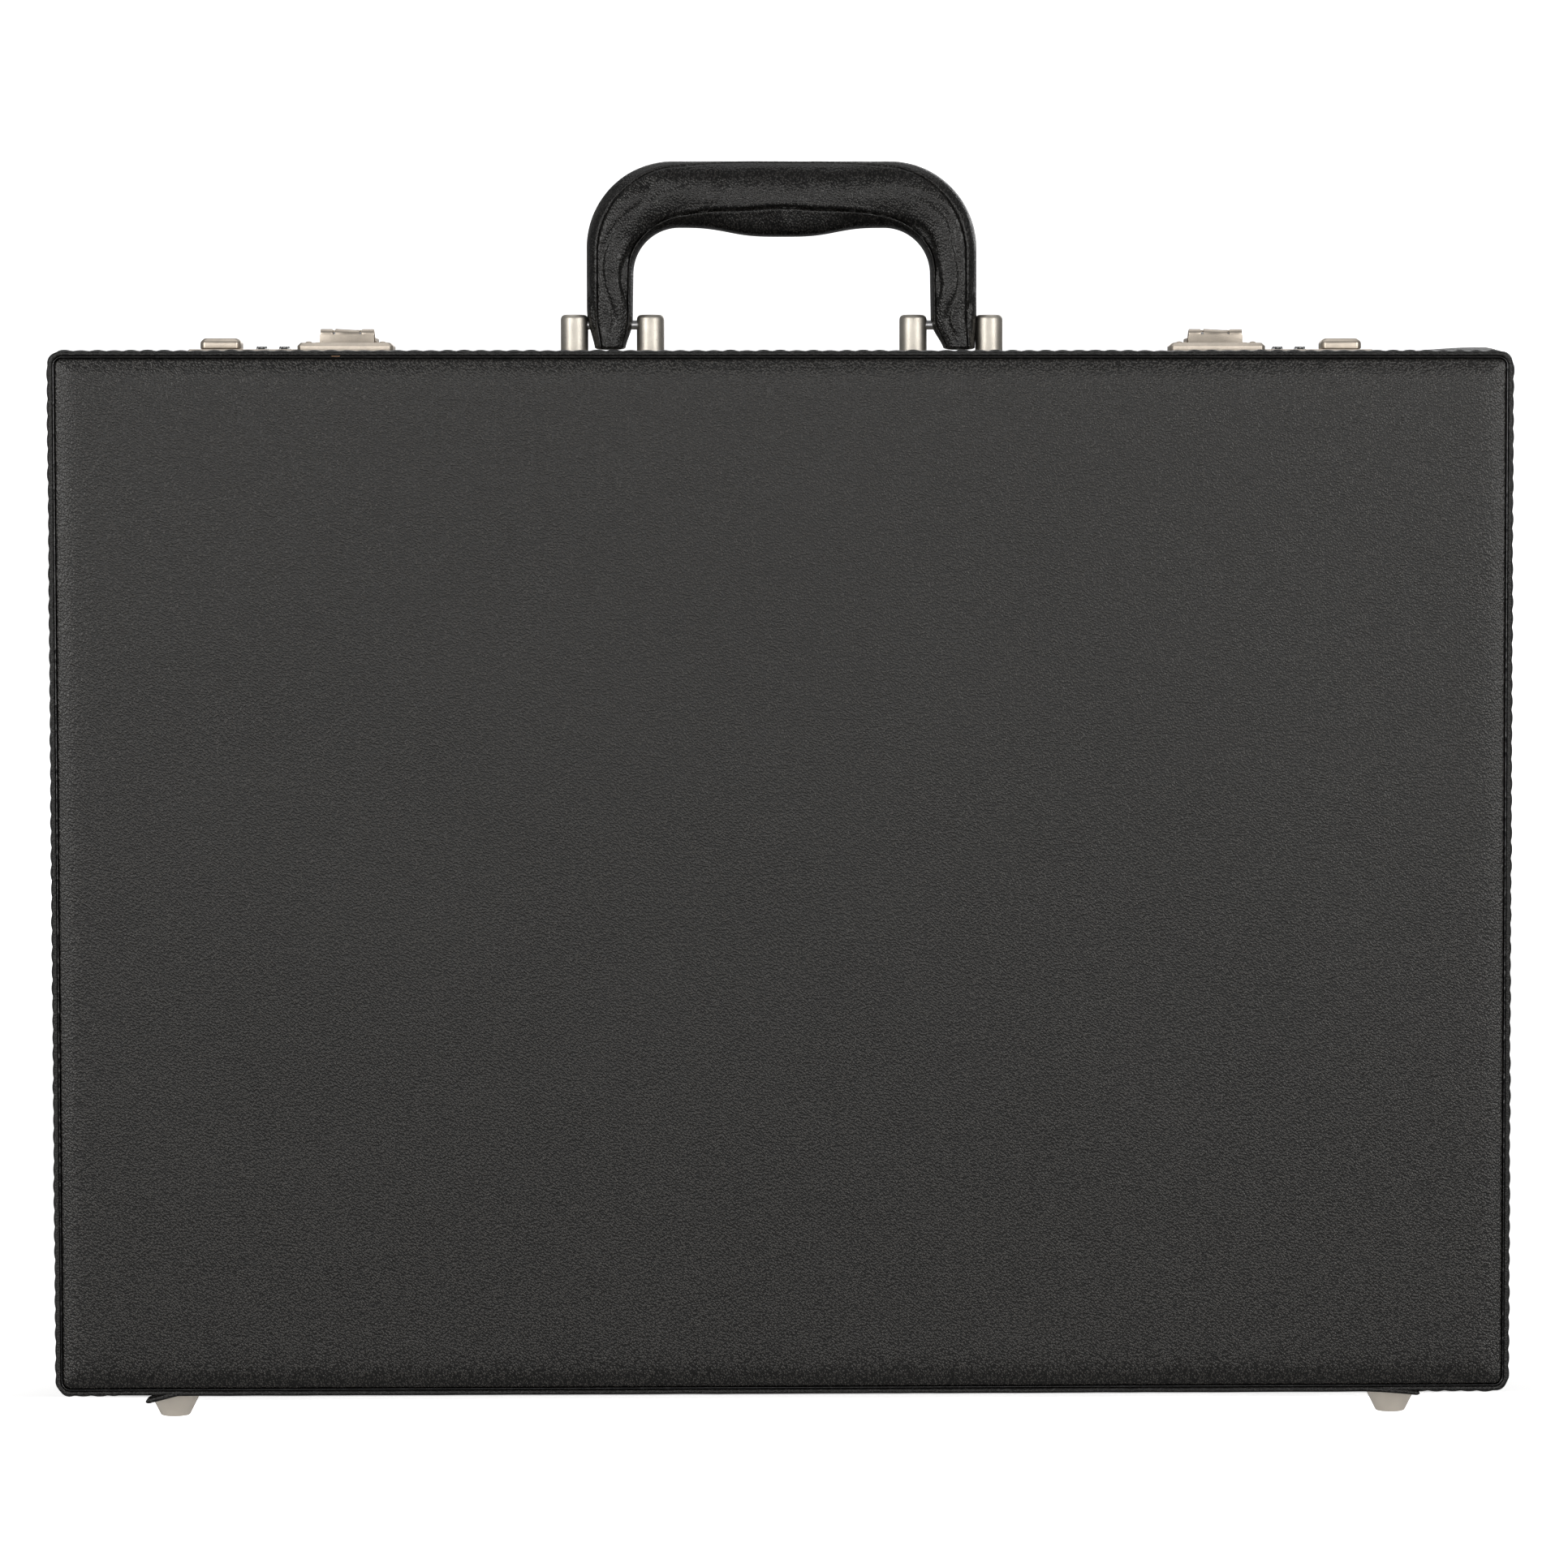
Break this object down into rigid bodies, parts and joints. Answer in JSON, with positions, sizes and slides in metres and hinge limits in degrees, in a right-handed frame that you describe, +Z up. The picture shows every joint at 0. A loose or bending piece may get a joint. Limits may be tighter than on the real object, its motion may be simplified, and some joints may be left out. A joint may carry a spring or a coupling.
{
  "type": "attache case",
  "caption": "Hard briefcase standing on its hinge side: padded covered shells, folding handle, hasp locks with number dials and a hinged lid on folding stays.",
  "frame": {"origin": "on the resting plane under the middle of the case, at the centre of its width and depth", "axes": "+Z up, from the feet on the hinge side to the handle; +X to the right as the lid side is seen; +Y to the back, so the lid faces -Y and opens towards -Y"},
  "size_m": [0.4512, 0.1018, 0.391],
  "materials": {
    "leatherette": "embossed grain, satin",
    "binding_tape": "satin",
    "aluminium": "satin extrusion",
    "nickel": "satin nickel plating",
    "steel": "plain",
    "silver_plastic": "satin",
    "lining": "matt cloth",
    "black_plastic": "matt"
  },
  "bodies": {
    "base": {"base_wall_frame": "leatherette", "rear_panel": "leatherette", "rear_binding": "binding_tape", "rear_bottom_strip": "binding_tape", "base_valance": "aluminium", "base_lining": "lining", "hinge_leaf_base": "steel", "hinge_pin": "steel", "lock_plate_left": "nickel", "handle_bracket_left": "nickel", "lock_housing_left": "black_plastic", "lock_spindle_left": "steel", "handle_pin_left": "steel", "stay_mount_base_left": "steel", "foot_rear_left": "silver_plastic", "lock_plate_right": "nickel", "handle_bracket_right": "nickel", "lock_housing_right": "black_plastic", "lock_spindle_right": "steel", "handle_pin_right": "steel", "stay_mount_base_right": "steel", "foot_rear_right": "silver_plastic"},
    "lid": {"lid_wall_frame": "leatherette", "front_panel": "leatherette", "front_binding": "binding_tape", "front_bottom_strip": "binding_tape", "lid_valance": "aluminium", "lid_lining": "lining", "hinge_leaf_lid": "steel", "file_pocket": "leatherette", "card_pocket_left": "leatherette", "card_pocket_right": "leatherette", "pen_holder": "leatherette", "foot_front_left": "silver_plastic", "hasp_carrier_left": "nickel", "hasp_pin_left": "steel", "stay_mount_lid_left": "steel", "foot_front_right": "silver_plastic", "hasp_carrier_right": "nickel", "hasp_pin_right": "steel", "stay_mount_lid_right": "steel"},
    "handle": {"handle_grip": "leatherette", "handle_core": "steel"},
    "hasp_left": {"hasp_left": "nickel"},
    "lock_slider_left": {"lock_button_left": "nickel", "lock_bolt_left": "steel"},
    "dial_left_1": {"lock_dial_left_1": "nickel"},
    "dial_left_2": {"lock_dial_left_2": "nickel"},
    "dial_left_3": {"lock_dial_left_3": "nickel"},
    "stay_lower_left": {"stay_lower_arm_left": "steel"},
    "stay_upper_left": {"stay_upper_arm_left": "steel"},
    "hasp_right": {"hasp_right": "nickel"},
    "lock_slider_right": {"lock_button_right": "nickel", "lock_bolt_right": "steel"},
    "dial_right_1": {"lock_dial_right_1": "nickel"},
    "dial_right_2": {"lock_dial_right_2": "nickel"},
    "dial_right_3": {"lock_dial_right_3": "nickel"},
    "stay_lower_right": {"stay_lower_arm_right": "steel"},
    "stay_upper_right": {"stay_upper_arm_right": "steel"}
  },
  "joints": [
    {"name": "lid_hinge", "type": "hinge", "parent": "base", "child": "lid", "pos_m": [0, -0.01, 0.0061], "axis": [1, 0, 0], "range_deg": [0, 95]},
    {"name": "handle_pivot", "type": "hinge", "parent": "base", "child": "handle", "pos_m": [0, 0.012, 0.3395], "axis": [1, 0, 0], "range_deg": [-88, 88]},
    {"name": "hasp_hinge_left", "type": "hinge", "parent": "lid", "child": "hasp_left", "pos_m": [-0.1354, -0.015, 0.3359], "axis": [1, 0, 0], "range_deg": [0, 100]},
    {"name": "lock_button_left_slide", "type": "slide", "parent": "base", "child": "lock_slider_left", "axis": [-1, 0, 0], "range_m": [0, 0.003], "stiffness_N_per_m": 200},
    {"name": "dial_left_1_spin", "type": "hinge", "parent": "base", "child": "dial_left_1", "pos_m": [-0.1491, 0.0028, 0.3267], "axis": [1, 0, 0], "continuous": true},
    {"name": "dial_left_2_spin", "type": "hinge", "parent": "base", "child": "dial_left_2", "pos_m": [-0.1562, 0.0028, 0.3267], "axis": [1, 0, 0], "continuous": true},
    {"name": "dial_left_3_spin", "type": "hinge", "parent": "base", "child": "dial_left_3", "pos_m": [-0.1633, 0.0028, 0.3267], "axis": [1, 0, 0], "continuous": true},
    {"name": "stay_lower_left_pivot", "type": "hinge", "parent": "base", "child": "stay_lower_left", "pos_m": [-0.2175, 0.02, 0.12229], "axis": [1, 0, 0], "range_deg": [0, 95]},
    {"name": "stay_upper_left_pivot", "type": "hinge", "parent": "lid", "child": "stay_upper_left", "pos_m": [-0.216, -0.03, 0.12442], "axis": [1, 0, 0], "range_deg": [-95, 0]},
    {"name": "hasp_hinge_right", "type": "hinge", "parent": "lid", "child": "hasp_right", "pos_m": [0.1354, -0.015, 0.3359], "axis": [1, 0, 0], "range_deg": [0, 100]},
    {"name": "lock_button_right_slide", "type": "slide", "parent": "base", "child": "lock_slider_right", "axis": [1, 0, 0], "range_m": [0, 0.003], "stiffness_N_per_m": 200},
    {"name": "dial_right_1_spin", "type": "hinge", "parent": "base", "child": "dial_right_1", "pos_m": [0.1491, 0.0028, 0.3267], "axis": [1, 0, 0], "continuous": true},
    {"name": "dial_right_2_spin", "type": "hinge", "parent": "base", "child": "dial_right_2", "pos_m": [0.1562, 0.0028, 0.3267], "axis": [1, 0, 0], "continuous": true},
    {"name": "dial_right_3_spin", "type": "hinge", "parent": "base", "child": "dial_right_3", "pos_m": [0.1633, 0.0028, 0.3267], "axis": [1, 0, 0], "continuous": true},
    {"name": "stay_lower_right_pivot", "type": "hinge", "parent": "base", "child": "stay_lower_right", "pos_m": [0.2175, 0.02, 0.12229], "axis": [1, 0, 0], "range_deg": [0, 95]},
    {"name": "stay_upper_right_pivot", "type": "hinge", "parent": "lid", "child": "stay_upper_right", "pos_m": [0.216, -0.03, 0.12442], "axis": [1, 0, 0], "range_deg": [-95, 0]}
  ],
  "couplings": [
    {"joint": "stay_lower_left_pivot", "follows": "lid_hinge", "ratio": 1},
    {"joint": "stay_upper_left_pivot", "follows": "lid_hinge", "ratio": -1},
    {"joint": "stay_lower_right_pivot", "follows": "lid_hinge", "ratio": 1},
    {"joint": "stay_upper_right_pivot", "follows": "lid_hinge", "ratio": -1}
  ]
}
